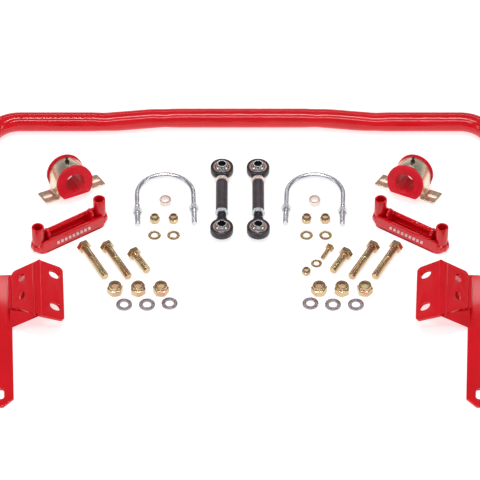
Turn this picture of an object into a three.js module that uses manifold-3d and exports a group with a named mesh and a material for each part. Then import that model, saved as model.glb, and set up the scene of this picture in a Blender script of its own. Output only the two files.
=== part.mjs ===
// Rear sway bar kit, laid out flat on the floor: the bar, its two bushings and
// straps, the axle mounts and frame brackets, two adjustable end links and the
// bolts, nuts, washers, U-bolts and sleeves that fasten them.
// Millimetres. +X runs right along the bar, +Y away from the front, +Z up.
import * as THREE from 'three';
import { ConvexGeometry } from 'three/addons/geometries/ConvexGeometry.js';
import { mergeVertices } from 'three/addons/utils/BufferGeometryUtils.js';
import Module from 'manifold-3d';

const wasm = await Module();
wasm.setup();

const INCH = 25.4;
const GAP = 0.3; // running clearance between pieces that touch or mate
const ROUND = 16; // sides of a small round piece

// ---------------------------------------------------------------- dimensions

const BAR = {
  diameter: 1.25 * INCH,
  y: 259, // of the straight outer runs
  offset: 9, // the middle run is set back by this much
  middle: 118, // half length of the middle run
  kinkEnd: 228, // where the offset has faded out
  bendStart: 361, // half length of the straight bar
  bendRadius: 52,
  bendAngle: 78 * Math.PI / 180,
  arm: 190, // straight part of each arm
  eyeThickness: 14,
  eyeLength: 42, // from the arm's end to the middle of the eye
  eyeBore: 13.2,
  eyeOverlap: 12, // of the eye's plate into the arm
  steps: 72,
};

const BUSHING = {
  length: 48, rim: 5, radius: 31, waist: 26, boreHeight: 23, bore: 31.9,
  baseWidth: 53, shoulder: 9, flare: 0.4, waistBase: 48,
  x: 282, y: 129, turn: -25, lean: 16, // of the rear edge that it leans on
};

const STRAP = {
  thickness: 2.8, length: 105, slotSpacing: 84, slotLength: 16, slotWidth: 8.6,
  fittingRadius: 3.6, fittingHeight: 9,
};

const AXLE_MOUNT = {
  tubeSpacing: 115, tubeDiameter: 20, tubeBore: 14, tubeTop: 51, tubeFoot: 4,
  collarRadius: 13, collarHeight: 14, // the thick ring around each sleeve's foot
  length: 128, width: 28, wall: 4.5, wallHeight: 24, baseThickness: 5,
  webInset: 17, lugRadius: 8, lugHeight: 29,
  x: 273, y: 9.5, turn: -33.5,
};

const U_BOLT = {
  rod: 8.5, thread: 9.5, span: 91, leg: 68, threadLength: 42,
  x: 121, y: 97, turn: -2, nutReach: [37, 33],
};

const SPACER = { outer: 19, bore: 13, height: 9, x: 120.5, y: 85 };

// Threaded sizes, each with the hexagon of its nut or head across the flats.
const HALF = { diameter: 0.5 * INCH, flats: 0.75 * INCH, head: 8 };
const HALF_NUT = { diameter: 0.5 * INCH, flats: 0.875 * INCH, nut: 16.5, collar: 5 };
const THREE_EIGHTHS = {
  diameter: 0.375 * INCH, flats: 0.5625 * INCH, nut: 11.4, plain: 8.3, collar: 3.4,
};
const FIVE_SIXTEENTHS = {
  diameter: 0.3125 * INCH, flats: 0.5 * INCH, head: 5.2, nut: 8.6, collar: 2.6,
};

const LONG_BOLT = 2.75 * INCH;
const SHORT_BOLT = 1.5 * INCH;
const SMALL_BOLT = 0.875 * INCH;

const WASHERS = {
  grey: { outer: 1 * INCH, bore: 13.5, thickness: 2.4 },
  gold: { outer: 0.8125 * INCH, bore: 10.3, thickness: 1.7 },
  small: { outer: 0.6875 * INCH, bore: 8.7, thickness: 1.6 },
};

const LINK = {
  x: 29.3, axisHeight: 15,
  rearHead: 148, frontHead: 10, // along Y, to the middle of each ball
  tubeRear: 116, tubeFront: 49.5, tubeDiameter: 0.75 * INCH,
  jamThickness: 7.4, jamFlats: 0.75 * INCH, rearJam: 116.3, frontJam: 41.8,
  shank: 0.5 * INCH, engaged: 24,
  headRadius: 18.6, headThickness: 13.4, neckRadius: 8.2, neckReach: 23.5,
  ballRadius: 12.7, ballWidth: 26, ballBore: 0.5 * INCH, shoulderRadius: 8.2,
  shoulderStart: 9.3,
};

const BRACKET = {
  plate: 5, slope: 30 * Math.PI / 180,
  ridgeX: 317, ridgeHeight: 46, rearY: -89, turn: -3.1, ridgeLength: 122,
  innerWing: 43, innerWingLength: 116, outerWing: 52, outerWingLength: 83, wingCorner: 8,
  innerSlot: [18, 15.5], innerSlotX: 27, innerSlotY: [-21, -91], // in the inner wing
  outerSlot: [10, 16], outerSlotX: 33, outerSlotY: [-23, -62], // in the outer wing
  footOffset: 45, footWidth: 81, footRear: 9, footFront: -273, footCorner: 16,
  footSlot: [10.5, 22], footSlotInset: 26, footSlotMargin: 20,
  footTab: 33, footTabFront: -84, // the part of the foot that runs in under the outer wing
  webMargin: 6, gussetFoot: -106,
};

// ----------------------------------------------------------------- materials

function finish(color, roughness, metalness) {
  return new THREE.MeshStandardMaterial({ color, roughness, metalness });
}

const RED_COAT = finish(0xcd0a1e, 0.25, 0.1);
const RED_URETHANE = finish(0xcf1226, 0.5, 0);
const GOLD_ZINC = finish(0xb79a58, 0.32, 0.9);
const SILVER_ZINC = finish(0xb4b8be, 0.3, 0.95);
const GREY_ZINC = finish(0xa8989c, 0.4, 0.9);
const DARK_STEEL = finish(0x50484e, 0.45, 0.6);
const CHROME = finish(0xd8d8dc, 0.08, 1);

// ------------------------------------------------------------- solid helpers

/** A closed three.js geometry as a manifold solid. */
function solid(geometry) {
  const bare = geometry.clone();
  bare.deleteAttribute('normal');
  bare.deleteAttribute('uv');
  const merged = mergeVertices(bare, 1e-4);
  return new wasm.Manifold(new wasm.Mesh({
    numProp: 3,
    vertProperties: Float32Array.from(merged.attributes.position.array),
    triVerts: Uint32Array.from(merged.index.array),
  }));
}

/** A manifold solid back as a three.js geometry. */
function geometryOf(manifold) {
  const mesh = manifold.getMesh();
  const geometry = new THREE.BufferGeometry();
  geometry.setAttribute('position', new THREE.BufferAttribute(mesh.vertProperties, 3));
  geometry.setIndex(new THREE.BufferAttribute(mesh.triVerts, 1));
  geometry.computeVertexNormals();
  return geometry;
}

/** An upright cylinder with its foot at z = bottom. */
function post(diameter, height, bottom = 0, sides = ROUND) {
  const radius = diameter / 2;
  const geometry = new THREE.CylinderGeometry(radius, radius, height, sides);
  return geometry.rotateX(Math.PI / 2).translate(0, 0, bottom + height / 2);
}

/** An upright six-sided bar, two of its flats facing +Y and -Y. */
function hexagon(flats, height, bottom = 0) {
  const prism = post(2 * flats / Math.sqrt(3), height, bottom, 6);
  return prism.rotateZ(Math.PI / 6);
}

/** A flat outline raised along Z, with its holes. */
function slab(outline, thickness, bottom = 0, curveSegments = 5) {
  const settings = { depth: thickness, bevelEnabled: false, curveSegments };
  return new THREE.ExtrudeGeometry(outline, settings).translate(0, 0, bottom);
}

/** A rectangle with rounded corners, centred on a point. */
function roundedRectangle(width, height, radius, cx = 0, cy = 0) {
  const shape = new THREE.Shape();
  const right = cx + width / 2 - radius;
  const left = cx - width / 2 + radius;
  const top = cy + height / 2 - radius;
  const low = cy - height / 2 + radius;
  shape.absarc(right, low, radius, -Math.PI / 2, 0);
  shape.absarc(right, top, radius, 0, Math.PI / 2);
  shape.absarc(left, top, radius, Math.PI / 2, Math.PI);
  shape.absarc(left, low, radius, Math.PI, 1.5 * Math.PI);
  return shape;
}

/** A slot with rounded ends; a hair under half its short side keeps the corner arcs apart. */
function roundSlot([width, height], cx, cy) {
  const radius = Math.min(width, height) / 2 - 0.05;
  return roundedRectangle(width, height, radius, cx, cy);
}

/** A ring turned about Z from a closed list of [radius, z] points. */
function turned(points, sides = ROUND) {
  const profile = points.map(([radius, z]) => new THREE.Vector2(radius, z));
  profile.push(profile[0].clone());
  return new THREE.LatheGeometry(profile, sides).rotateX(Math.PI / 2);
}

/** A round rod swept along a curve. */
function rod(curve, diameter, steps, sides) {
  const section = new THREE.Shape();
  for (let i = 0; i < sides; i += 1) {
    const angle = 2 * Math.PI * i / sides;
    const x = diameter / 2 * Math.cos(angle);
    const y = diameter / 2 * Math.sin(angle);
    if (i === 0) section.moveTo(x, y);
    else section.lineTo(x, y);
  }
  return new THREE.ExtrudeGeometry(section, { steps, extrudePath: curve, bevelEnabled: false });
}

/** A named mesh of a geometry or a manifold solid. */
function piece(name, shape, material) {
  const geometry = shape.isBufferGeometry ? shape : geometryOf(shape);
  const mesh = new THREE.Mesh(geometry, material);
  mesh.name = name;
  return mesh;
}

// ------------------------------------------------------------------- the bar

/** Half of the bar's line, from the middle to the end of one arm, in the plane z = 0. */
function barPoint(distance) {
  const straight = BAR.bendStart;
  if (distance <= straight) {
    const fade = THREE.MathUtils.smoothstep(distance, BAR.middle, BAR.kinkEnd);
    return new THREE.Vector2(distance, BAR.offset * (1 - fade));
  }
  const arc = BAR.bendRadius * BAR.bendAngle;
  const angle = Math.min((distance - straight) / BAR.bendRadius, BAR.bendAngle);
  const point = new THREE.Vector2(
    straight + BAR.bendRadius * Math.sin(angle),
    -BAR.bendRadius * (1 - Math.cos(angle)),
  );
  const beyond = Math.max(distance - straight - arc, 0);
  point.x += beyond * Math.cos(BAR.bendAngle);
  point.y -= beyond * Math.sin(BAR.bendAngle);
  return point;
}

class BarLine extends THREE.Curve {
  getPoint(t, target = new THREE.Vector3()) {
    const half = BAR.bendStart + BAR.bendRadius * BAR.bendAngle + BAR.arm;
    const distance = (2 * t - 1) * half;
    const point = barPoint(Math.abs(distance));
    return target.set(Math.sign(distance) * point.x, point.y, 0);
  }
}

/** The flat eye at an arm's end, its bore across the arm and level with the floor. */
function barEye(side) {
  const depth = BAR.eyeThickness;
  const radius = BAR.diameter / 2;
  const outline = new THREE.Shape();
  outline.moveTo(-BAR.eyeOverlap, -radius);
  outline.absarc(BAR.eyeLength, 0, radius, -Math.PI / 2, Math.PI / 2);
  outline.lineTo(-BAR.eyeOverlap, radius);
  outline.closePath();
  const bore = new THREE.Path();
  bore.absarc(BAR.eyeLength, 0, BAR.eyeBore / 2, 0, 2 * Math.PI);
  outline.holes.push(bore);
  const eye = slab(outline, depth, -depth / 2, 8).rotateX(Math.PI / 2);
  const end = barPoint(BAR.bendStart + BAR.bendRadius * BAR.bendAngle + BAR.arm);
  eye.rotateZ(-BAR.bendAngle).translate(end.x, end.y, 0);
  const eyeSolid = solid(eye);
  return side > 0 ? eyeSolid : eyeSolid.mirror([1, 0, 0]);
}

function swayBar() {
  let bar = solid(rod(new BarLine(), BAR.diameter, BAR.steps, 12));
  bar = bar.add(barEye(1)).add(barEye(-1));
  const mesh = piece('sway_bar', bar, RED_COAT);
  mesh.position.set(0, BAR.y, BAR.diameter / 2);
  return mesh;
}

// ------------------------------------------------------ bushings and straps

/** The bushing's D seen along the bore: round above, drawn in to a flat base. */
function dOutline(radius, baseWidth) {
  const outline = new THREE.Shape();
  const foot = (baseWidth - BUSHING.shoulder) / 2;
  const flank = baseWidth / 2 + (radius - baseWidth / 2) * BUSHING.flare;
  outline.moveTo(-foot, 0);
  outline.lineTo(foot, 0);
  outline.lineTo(flank, BUSHING.shoulder);
  outline.absarc(0, BUSHING.boreHeight, radius, 0, Math.PI);
  outline.lineTo(-flank, BUSHING.shoulder);
  outline.closePath();
  return outline;
}

/** An outline drawn in X and Z, as a slab between two places along Y. */
function crosswise(outline, from, to, curveSegments = 10) {
  return slab(outline, to - from, 0, curveSegments).rotateX(Math.PI / 2).translate(0, to, 0);
}

function bushing(name) {
  const half = BUSHING.length / 2;
  const waistFace = half - BUSHING.rim;
  const full = dOutline(BUSHING.radius, BUSHING.baseWidth);
  const narrow = dOutline(BUSHING.waist, BUSHING.waistBase);
  const bore = post(BUSHING.bore, BUSHING.length + 4, -half - 2, 24);
  bore.rotateX(Math.PI / 2).translate(0, 0, BUSHING.boreHeight);
  const body = solid(crosswise(full, -half, -waistFace))
    .add(solid(crosswise(full, waistFace, half)))
    .add(solid(crosswise(narrow, -waistFace - 1, waistFace + 1)))
    .subtract(solid(bore));
  return piece(name, body, RED_URETHANE);
}

/** The arched strap over the waist, with a slotted ear each side and its grease fitting. */
function strap(name) {
  const inner = BUSHING.waist + GAP;
  const outer = inner + STRAP.thickness;
  const half = BUSHING.length / 2 - BUSHING.rim - GAP;
  const arch = new THREE.Shape();
  arch.moveTo(-STRAP.length / 2, 0);
  arch.lineTo(-inner, 0);
  arch.absarc(0, BUSHING.boreHeight, inner, Math.PI, 0, true);
  arch.lineTo(inner, 0);
  arch.lineTo(STRAP.length / 2, 0);
  arch.lineTo(STRAP.length / 2, STRAP.thickness);
  arch.lineTo(outer, STRAP.thickness);
  arch.absarc(0, BUSHING.boreHeight, outer, 0, Math.PI);
  arch.lineTo(-outer, STRAP.thickness);
  arch.lineTo(-STRAP.length / 2, STRAP.thickness);
  arch.closePath();
  let body = solid(crosswise(arch, -half, half));
  for (const side of [-1, 1]) {
    const slot = roundedRectangle(STRAP.slotLength, STRAP.slotWidth, STRAP.slotWidth / 2);
    const cutter = slab(slot, 3 * STRAP.thickness, -STRAP.thickness);
    body = body.subtract(solid(cutter.translate(side * STRAP.slotSpacing / 2, 0, 0)));
  }
  const top = BUSHING.boreHeight + outer;
  const fitting = post(2 * STRAP.fittingRadius, STRAP.fittingHeight, top - 1, 8);
  return piece(name, body.add(solid(fitting)), GOLD_ZINC);
}

/** One bushing in its strap, leaning back on the rear edge of its base. */
function bushingSet(label) {
  const leaning = new THREE.Group();
  leaning.add(bushing(`bushing_${label}`), strap(`bushing_strap_${label}`));
  leaning.position.y = -BUSHING.length / 2;
  const tilt = new THREE.Group();
  tilt.add(leaning);
  tilt.rotation.x = -THREE.MathUtils.degToRad(BUSHING.lean);
  const set = new THREE.Group();
  set.add(tilt);
  set.rotation.z = THREE.MathUtils.degToRad(BUSHING.turn);
  set.position.set(BUSHING.x, BUSHING.y, 0);
  return set;
}

// ---------------------------------------------------------------- axle mount

/** An open channel with a sleeve standing at each end and a lugged web beside each sleeve. */
function axleMount(name) {
  const m = AXLE_MOUNT;
  const cornerRadius = m.width / 2 - 0.5;
  const channel = roundedRectangle(m.length, m.width, cornerRadius);
  let body = solid(slab(channel, m.baseThickness));
  const wallLength = m.length - m.width / 2;
  const wall = new THREE.BoxGeometry(wallLength, m.wall, m.wallHeight);
  const wallY = (m.width - m.wall) / 2;
  for (const side of [-1, 1]) {
    body = body.add(solid(wall.clone().translate(0, side * wallY, m.wallHeight / 2)));
  }
  for (const side of [-1, 1]) {
    const sleeveX = side * m.tubeSpacing / 2;
    const webX = sleeveX - side * m.webInset;
    const web = new THREE.BoxGeometry(m.wall, m.width - 1, m.wallHeight);
    body = body.add(solid(web.translate(webX, 0, m.wallHeight / 2)));
    const lug = post(2 * m.lugRadius, m.wall, -m.wall / 2, 14);
    lug.rotateY(Math.PI / 2).translate(webX, 0, m.lugHeight);
    body = body.add(solid(lug));
    const sleeve = post(m.tubeDiameter, m.tubeTop - m.tubeFoot, m.tubeFoot);
    const collar = post(2 * m.collarRadius, m.collarHeight, m.tubeFoot);
    body = body.add(solid(sleeve.translate(sleeveX, 0, 0)));
    body = body.add(solid(collar.translate(sleeveX, 0, 0)));
  }
  for (const side of [-1, 1]) {
    const bore = post(m.tubeBore, m.tubeTop + 4, -2).translate(side * m.tubeSpacing / 2, 0, 0);
    body = body.subtract(solid(bore));
  }
  const mesh = piece(name, body, RED_COAT);
  mesh.rotation.z = THREE.MathUtils.degToRad(m.turn);
  mesh.position.set(m.x, m.y, 0);
  return mesh;
}

// ------------------------------------------------------------------ fasteners

/** A hexagon nut, its bore along Z, with a lower round collar if it locks. */
function nut(name, size, height, material, locking = true) {
  const hexHeight = locking ? height - size.collar : height;
  let body = solid(hexagon(size.flats, hexHeight));
  if (locking) body = body.add(solid(post(0.9 * size.flats, height, 0, 12)));
  body = body.subtract(solid(post(size.diameter + 2 * GAP, height + 4, -2, 12)));
  return piece(name, body, material);
}

function washer(name, size, material) {
  const inner = size.bore / 2;
  const outer = size.outer / 2;
  const ring = [[inner, 0], [outer, 0], [outer, size.thickness], [inner, size.thickness]];
  return piece(name, turned(ring), material);
}

/** A hexagon bolt with its head's top at z = 0 and its tip down the -Z way. */
function bolt(name, size, length) {
  const head = solid(hexagon(size.flats, size.head, -size.head));
  const tip = post(size.diameter, length + 1, -size.head - length, 12);
  return piece(name, head.add(solid(tip)), GOLD_ZINC);
}

/** Lays a bolt on the floor: one flat of the head and the edge of the tip come down to it. */
function laidBolt(mesh, size, length, x, y, heading) {
  const drop = (size.flats - size.diameter) / 2;
  const lean = Math.asin(drop / (length + size.head));
  const laid = new THREE.Group();
  mesh.rotation.x = -Math.PI / 2 + lean;
  laid.add(mesh);
  laid.rotation.z = THREE.MathUtils.degToRad(heading);
  const headFoot = size.flats / 2 * Math.cos(lean) + size.head * Math.sin(lean);
  laid.position.set(x, y, headFoot);
  return laid;
}

function at(mesh, x, y, z = 0, turn = 0) {
  mesh.position.set(x, y, z);
  mesh.rotation.z = THREE.MathUtils.degToRad(turn);
  return mesh;
}

/** A U-bolt lying flat, its bow to the rear and its legs to the front. */
function uBolt(label) {
  const reach = U_BOLT.span / 2;
  const path = new THREE.CurvePath();
  path.add(new THREE.LineCurve3(
    new THREE.Vector3(reach, -U_BOLT.leg, 0),
    new THREE.Vector3(reach, 0, 0),
  ));
  path.add(new (class extends THREE.Curve {
    getPoint(t, target = new THREE.Vector3()) {
      return target.set(reach * Math.cos(Math.PI * t), reach * Math.sin(Math.PI * t), 0);
    }
  })());
  path.add(new THREE.LineCurve3(
    new THREE.Vector3(-reach, 0, 0),
    new THREE.Vector3(-reach, -U_BOLT.leg, 0),
  ));
  let body = solid(rod(path, U_BOLT.rod, 34, 8));
  const group = new THREE.Group();
  [1, -1].forEach((side, index) => {
    const thread = post(U_BOLT.thread, U_BOLT.threadLength, 0, 10).rotateX(-Math.PI / 2);
    body = body.add(solid(thread.translate(side * reach, -U_BOLT.leg - 0.5, 0)));
    const place = side > 0 ? 'outer' : 'inner';
    const hex = nut(`u_bolt_nut_${label}_${place}`, THREE_EIGHTHS, THREE_EIGHTHS.plain, SILVER_ZINC, false);
    hex.rotation.x = -Math.PI / 2;
    hex.position.set(side * reach, -U_BOLT.nutReach[index] - THREE_EIGHTHS.plain / 2, 0);
    group.add(hex);
  });
  group.add(piece(`u_bolt_${label}`, body, SILVER_ZINC));
  group.rotation.z = THREE.MathUtils.degToRad(U_BOLT.turn);
  group.position.set(U_BOLT.x, U_BOLT.y, THREE_EIGHTHS.flats / 2 + 0.1);
  return group;
}

// ------------------------------------------------------------------ end links

/** A ball with its bore upright and a shoulder above and below the sphere. */
function linkBall(name) {
  const start = Math.asin(LINK.shoulderStart / LINK.ballRadius);
  const half = LINK.ballWidth / 2;
  const points = [[LINK.ballBore / 2, -half], [LINK.shoulderRadius, -half]];
  const arcSteps = 6;
  for (let i = 0; i <= arcSteps; i += 1) {
    const angle = -start + 2 * start * i / arcSteps;
    points.push([LINK.ballRadius * Math.cos(angle), LINK.ballRadius * Math.sin(angle)]);
  }
  points.push([LINK.shoulderRadius, half], [LINK.ballBore / 2, half]);
  return piece(name, turned(points, 16), CHROME);
}

/** The rod end's round head and its shank, which points along +Y from the ball. */
function rodEnd(name, shankLength) {
  const half = LINK.headThickness / 2;
  const bevel = 2;
  const head = turned([
    [LINK.ballRadius - 4, -half], [LINK.headRadius - bevel, -half], [LINK.headRadius, -half + bevel],
    [LINK.headRadius, half - bevel], [LINK.headRadius - bevel, half], [LINK.ballRadius - 4, half],
  ], 20);
  const neck = post(2 * LINK.neckRadius, LINK.neckReach - 4, 4, 12).rotateX(-Math.PI / 2);
  const shank = post(LINK.shank, shankLength, 0, 10).rotateX(-Math.PI / 2);
  const race = new THREE.SphereGeometry(LINK.ballRadius + GAP, 16, 10).rotateX(Math.PI / 2);
  const body = solid(head).add(solid(neck)).add(solid(shank)).subtract(solid(race));
  return piece(name, body, DARK_STEEL);
}

/** One end link lying along Y, both balls upright. */
function endLink(label) {
  const group = new THREE.Group();
  const tubeLength = LINK.tubeRear - LINK.tubeFront;
  const tube = solid(post(LINK.tubeDiameter, tubeLength, 0, 20))
    .subtract(solid(post(LINK.shank + 2 * GAP, tubeLength + 4, -2, 14)));
  const tubeMesh = piece(`link_tube_${label}`, tube, DARK_STEEL);
  tubeMesh.rotation.x = -Math.PI / 2;
  tubeMesh.position.y = LINK.tubeFront;
  group.add(tubeMesh);
  const ends = [
    { place: 'rear', ball: LINK.rearHead, face: LINK.tubeRear, jam: LINK.rearJam },
    { place: 'front', ball: LINK.frontHead, face: LINK.tubeFront, jam: LINK.frontJam },
  ];
  for (const { place, ball, face, jam } of ends) {
    const shank = Math.abs(face - ball) + LINK.engaged;
    const end = rodEnd(`rod_end_${label}_${place}`, shank);
    end.rotation.z = face < ball ? Math.PI : 0;
    end.position.y = ball;
    const sphere = linkBall(`link_ball_${label}_${place}`);
    sphere.position.y = ball;
    const jamSize = { flats: LINK.jamFlats, diameter: LINK.shank };
    const jamNut = nut(`jam_nut_${label}_${place}`, jamSize, LINK.jamThickness, SILVER_ZINC, false);
    jamNut.rotation.x = -Math.PI / 2;
    jamNut.position.y = jam;
    group.add(end, sphere, jamNut);
  }
  group.position.set(LINK.x, 0, LINK.axisHeight);
  return group;
}

// -------------------------------------------------------------- frame bracket

/** A flat wing of the roof from the ridge along +X, its free edge shorter than the ridge. */
function wing(width, freeLength, holes) {
  const corner = BRACKET.wingCorner;
  const outline = new THREE.Shape();
  outline.moveTo(0, 0);
  outline.lineTo(0, -BRACKET.ridgeLength);
  outline.absarc(width - corner, -freeLength + corner, corner, -Math.PI / 2, 0);
  outline.absarc(width - corner, -corner, corner, 0, Math.PI / 2);
  outline.closePath();
  outline.holes.push(...holes);
  return slab(outline, BRACKET.plate, -BRACKET.plate, 4).rotateY(BRACKET.slope);
}

/** The long plate that lies on the floor, its front corners cut and slotted. */
function footPlate() {
  const b = BRACKET;
  const corner = b.footCorner;
  const foot = new THREE.Shape();
  foot.moveTo(-b.footTab, b.footRear);
  foot.lineTo(-b.footTab, b.footTabFront);
  foot.lineTo(0, b.footTabFront);
  foot.lineTo(0, b.footFront + corner);
  foot.lineTo(corner, b.footFront);
  foot.absarc(b.footWidth - corner, b.footFront + corner, corner, -Math.PI / 2, 0);
  foot.lineTo(b.footWidth, b.footRear);
  foot.closePath();
  for (const x of [b.footSlotMargin, b.footWidth - b.footSlotMargin]) {
    const slotY = b.footFront + b.footSlotInset;
    foot.holes.push(roundSlot(b.footSlot, x, slotY));
  }
  return slab(foot, b.plate, -b.ridgeHeight).translate(b.footOffset, 0, 0);
}

/** The flat triangle under the outer wing's slanting front edge, from the ridge to the foot. */
function gusset() {
  const b = BRACKET;
  const under = b.plate / 2;
  const drop = (x) => -x * Math.tan(b.slope) - under;
  const wingX = b.footOffset + b.plate / 2;
  const face = [
    [1, -b.ridgeLength + 1, drop(1)],
    [wingX, -b.outerWingLength - 2, drop(wingX)],
    [wingX, -b.outerWingLength - 2, -b.ridgeHeight + 1],
    [b.footOffset + b.plate, b.gussetFoot, -b.ridgeHeight + 1],
  ];
  const back = face.map(([x, y, z]) => [x, y + b.plate, z]);
  return new ConvexGeometry([...face, ...back].map((corner) => new THREE.Vector3(...corner)));
}

/** A bent two-wing plate on a long foot plate, joined by an upright web and a gusset. */
function frameBracket(name) {
  const b = BRACKET;
  const innerSlots = b.innerSlotY.map((y) => roundSlot(b.innerSlot, b.innerSlotX, y));
  const outerSlots = b.outerSlotY.map((y) => roundSlot(b.outerSlot, b.outerSlotX, y));
  // The inner wing faces the middle of the kit, so it is the mirrored one.
  const inner = solid(wing(b.innerWing, b.innerWingLength, innerSlots)).mirror([1, 0, 0]);
  const outer = solid(wing(b.outerWing, b.outerWingLength, outerSlots));
  const ridge = post(2 * b.plate, b.ridgeLength).rotateX(Math.PI / 2).translate(0, 0, -b.plate);

  const webX = b.footOffset - b.plate;
  const webHeight = b.ridgeHeight - Math.tan(b.slope) * (webX + b.plate / 2) - b.plate / 2;
  const webLength = b.outerWingLength - 2 * b.webMargin;
  const web = new THREE.BoxGeometry(b.plate, webLength, webHeight);
  web.translate(b.footOffset + b.plate / 2, -webLength / 2 - b.webMargin, webHeight / 2 - b.ridgeHeight);

  const roof = inner.add(outer).add(solid(ridge));
  const body = roof.add(solid(footPlate())).add(solid(web)).add(solid(gusset()));
  const mesh = piece(name, body, RED_COAT);
  mesh.rotation.z = THREE.MathUtils.degToRad(b.turn);
  mesh.position.set(b.ridgeX, b.rearY, b.ridgeHeight);
  return mesh;
}

// ------------------------------------------------------------------ the layout

/** Everything that lies on one side of the middle, drawn for the right side. */
function halfKit(label) {
  const half = new THREE.Group();
  half.add(bushingSet(label), axleMount(`axle_mount_${label}`), uBolt(label));
  half.add(endLink(label), frameBracket(`frame_bracket_${label}`));

  const sleeve = { bore: SPACER.bore, outer: SPACER.outer, thickness: SPACER.height };
  half.add(at(washer(`spacer_${label}`, sleeve, SILVER_ZINC), SPACER.x, SPACER.y));

  const smallNuts = { x: [107, 137], y: 43, turn: [12, -8] };
  const goldWashers = { x: [106.5, 137], y: 10 };
  for (let i = 0; i < 2; i += 1) {
    const small = nut(`u_bolt_locknut_${label}_${i + 1}`, THREE_EIGHTHS, THREE_EIGHTHS.nut, GOLD_ZINC);
    half.add(at(small, smallNuts.x[i], smallNuts.y, 0, smallNuts.turn[i]));
    const flat = washer(`u_bolt_washer_${label}_${i + 1}`, WASHERS.gold, GOLD_ZINC);
    half.add(at(flat, goldWashers.x[i], goldWashers.y));
  }

  const boltRow = [
    { name: `short_bolt_${label}`, length: SHORT_BOLT, x: 170.8, y: -36.2, heading: -31 },
    { name: `long_bolt_${label}_1`, length: LONG_BOLT, x: 214, y: -20.8, heading: -28.8 },
    { name: `long_bolt_${label}_2`, length: LONG_BOLT, x: 250.8, y: -20.8, heading: -28.8 },
  ];
  for (const { name, length, x, y, heading } of boltRow) {
    half.add(laidBolt(bolt(name, HALF, length), HALF, length, x, y, heading));
  }

  const lockNuts = { x: [124.8, 160.8, 197.2], y: -115.7, turn: [5, 24, -14] };
  const greyWashers = { x: [110.9, 146.3, 182.4], y: [-142.5, -145, -145] };
  for (let i = 0; i < 3; i += 1) {
    const lock = nut(`locknut_${label}_${i + 1}`, HALF_NUT, HALF_NUT.nut, GOLD_ZINC);
    half.add(at(lock, lockNuts.x[i], lockNuts.y, 0, lockNuts.turn[i]));
    const flat = washer(`flat_washer_${label}_${i + 1}`, WASHERS.grey, GREY_ZINC);
    half.add(at(flat, greyWashers.x[i], greyWashers.y[i]));
  }
  return half;
}

/** The one small bolt, washer and locknut, which lie on the right side only. */
function smallHardware() {
  const group = new THREE.Group();
  const small = bolt('small_bolt', FIVE_SIXTEENTHS, SMALL_BOLT);
  group.add(laidBolt(small, FIVE_SIXTEENTHS, SMALL_BOLT, 144.5, -21.5, -29));
  group.add(at(washer('small_washer', WASHERS.small, GOLD_ZINC), 121.6, -53.5));
  const lock = nut('small_locknut', FIVE_SIXTEENTHS, FIVE_SIXTEENTHS.nut, GOLD_ZINC);
  group.add(at(lock, 105.3, -74, 0, 18));
  return group;
}

const layout = new THREE.Group();
layout.add(swayBar());
const rightHalf = halfKit('right');
const leftHalf = halfKit('left');
leftHalf.scale.x = -1;
layout.add(rightHalf, leftHalf, smallHardware());

// The origin is on the floor in the middle of the whole kit.
const kit = new THREE.Group();
kit.add(layout);
kit.updateMatrixWorld(true);
const box = new THREE.Box3().setFromObject(kit, true);
layout.position.set(-(box.min.x + box.max.x) / 2, -(box.min.y + box.max.y) / 2, -box.min.z);

export default kit;
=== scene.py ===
"""Looks of the rear sway bar kit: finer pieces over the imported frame, materials, light and camera."""
import math

import bpy
from mathutils import Matrix, Vector


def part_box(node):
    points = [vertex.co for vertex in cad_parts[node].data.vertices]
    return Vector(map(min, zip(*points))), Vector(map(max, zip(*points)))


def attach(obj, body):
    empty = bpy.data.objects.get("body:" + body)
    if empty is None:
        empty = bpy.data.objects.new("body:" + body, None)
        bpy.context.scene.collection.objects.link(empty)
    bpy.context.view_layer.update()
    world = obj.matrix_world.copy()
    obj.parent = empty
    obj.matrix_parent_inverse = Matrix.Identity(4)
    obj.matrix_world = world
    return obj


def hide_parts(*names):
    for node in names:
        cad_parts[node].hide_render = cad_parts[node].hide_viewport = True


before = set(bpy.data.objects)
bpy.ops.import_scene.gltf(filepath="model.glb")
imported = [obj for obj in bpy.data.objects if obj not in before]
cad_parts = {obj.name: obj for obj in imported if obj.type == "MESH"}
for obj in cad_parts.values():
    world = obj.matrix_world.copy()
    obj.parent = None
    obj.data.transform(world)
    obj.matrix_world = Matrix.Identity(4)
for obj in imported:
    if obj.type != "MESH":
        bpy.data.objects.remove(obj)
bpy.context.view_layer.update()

MM = 0.001
INCH = 25.4
SIDES = (("right", 1), ("left", -1))

# ------------------------------------------------------------------ dimensions (mm, degrees)

BAR = dict(diameter=1.25 * INCH, offset=9, middle=118, kink_end=228, bend_start=361,
           bend_radius=52, bend_angle=78, arm=190, flat=14, eye=42, bore=13.2,
           pinch=1.3, pinch_width=13, pinch_at=(124, 222))
BUSHING = dict(length=48, rim=5, radius=31, waist=26, bore_height=23, bore=31.9,
               base=53, waist_base=48, shoulder=9, flare=0.4, turn=-25, lean=16)
STRAP = dict(thickness=2.8, length=105, slot_spacing=84, slot=(16, 8.6))
MOUNT = dict(spacing=115, tube=20, bore=14, top=51, foot=4, collar=13, collar_height=14,
             length=128, width=28, wall=4.5, wall_height=24, base=5, web=17, lug=8,
             lug_height=29, turn=-33.5)
U_BOLT = dict(rod=8.5, thread=9.5, span=91, leg=68, threaded=42, turn=-2)
LINK = dict(shank=0.5 * INCH, head=18.6, thickness=13.4, neck=8.2, neck_reach=23.5, ball=12.7, width=26,
            bore=0.5 * INCH, shoulder=8.2)
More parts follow.
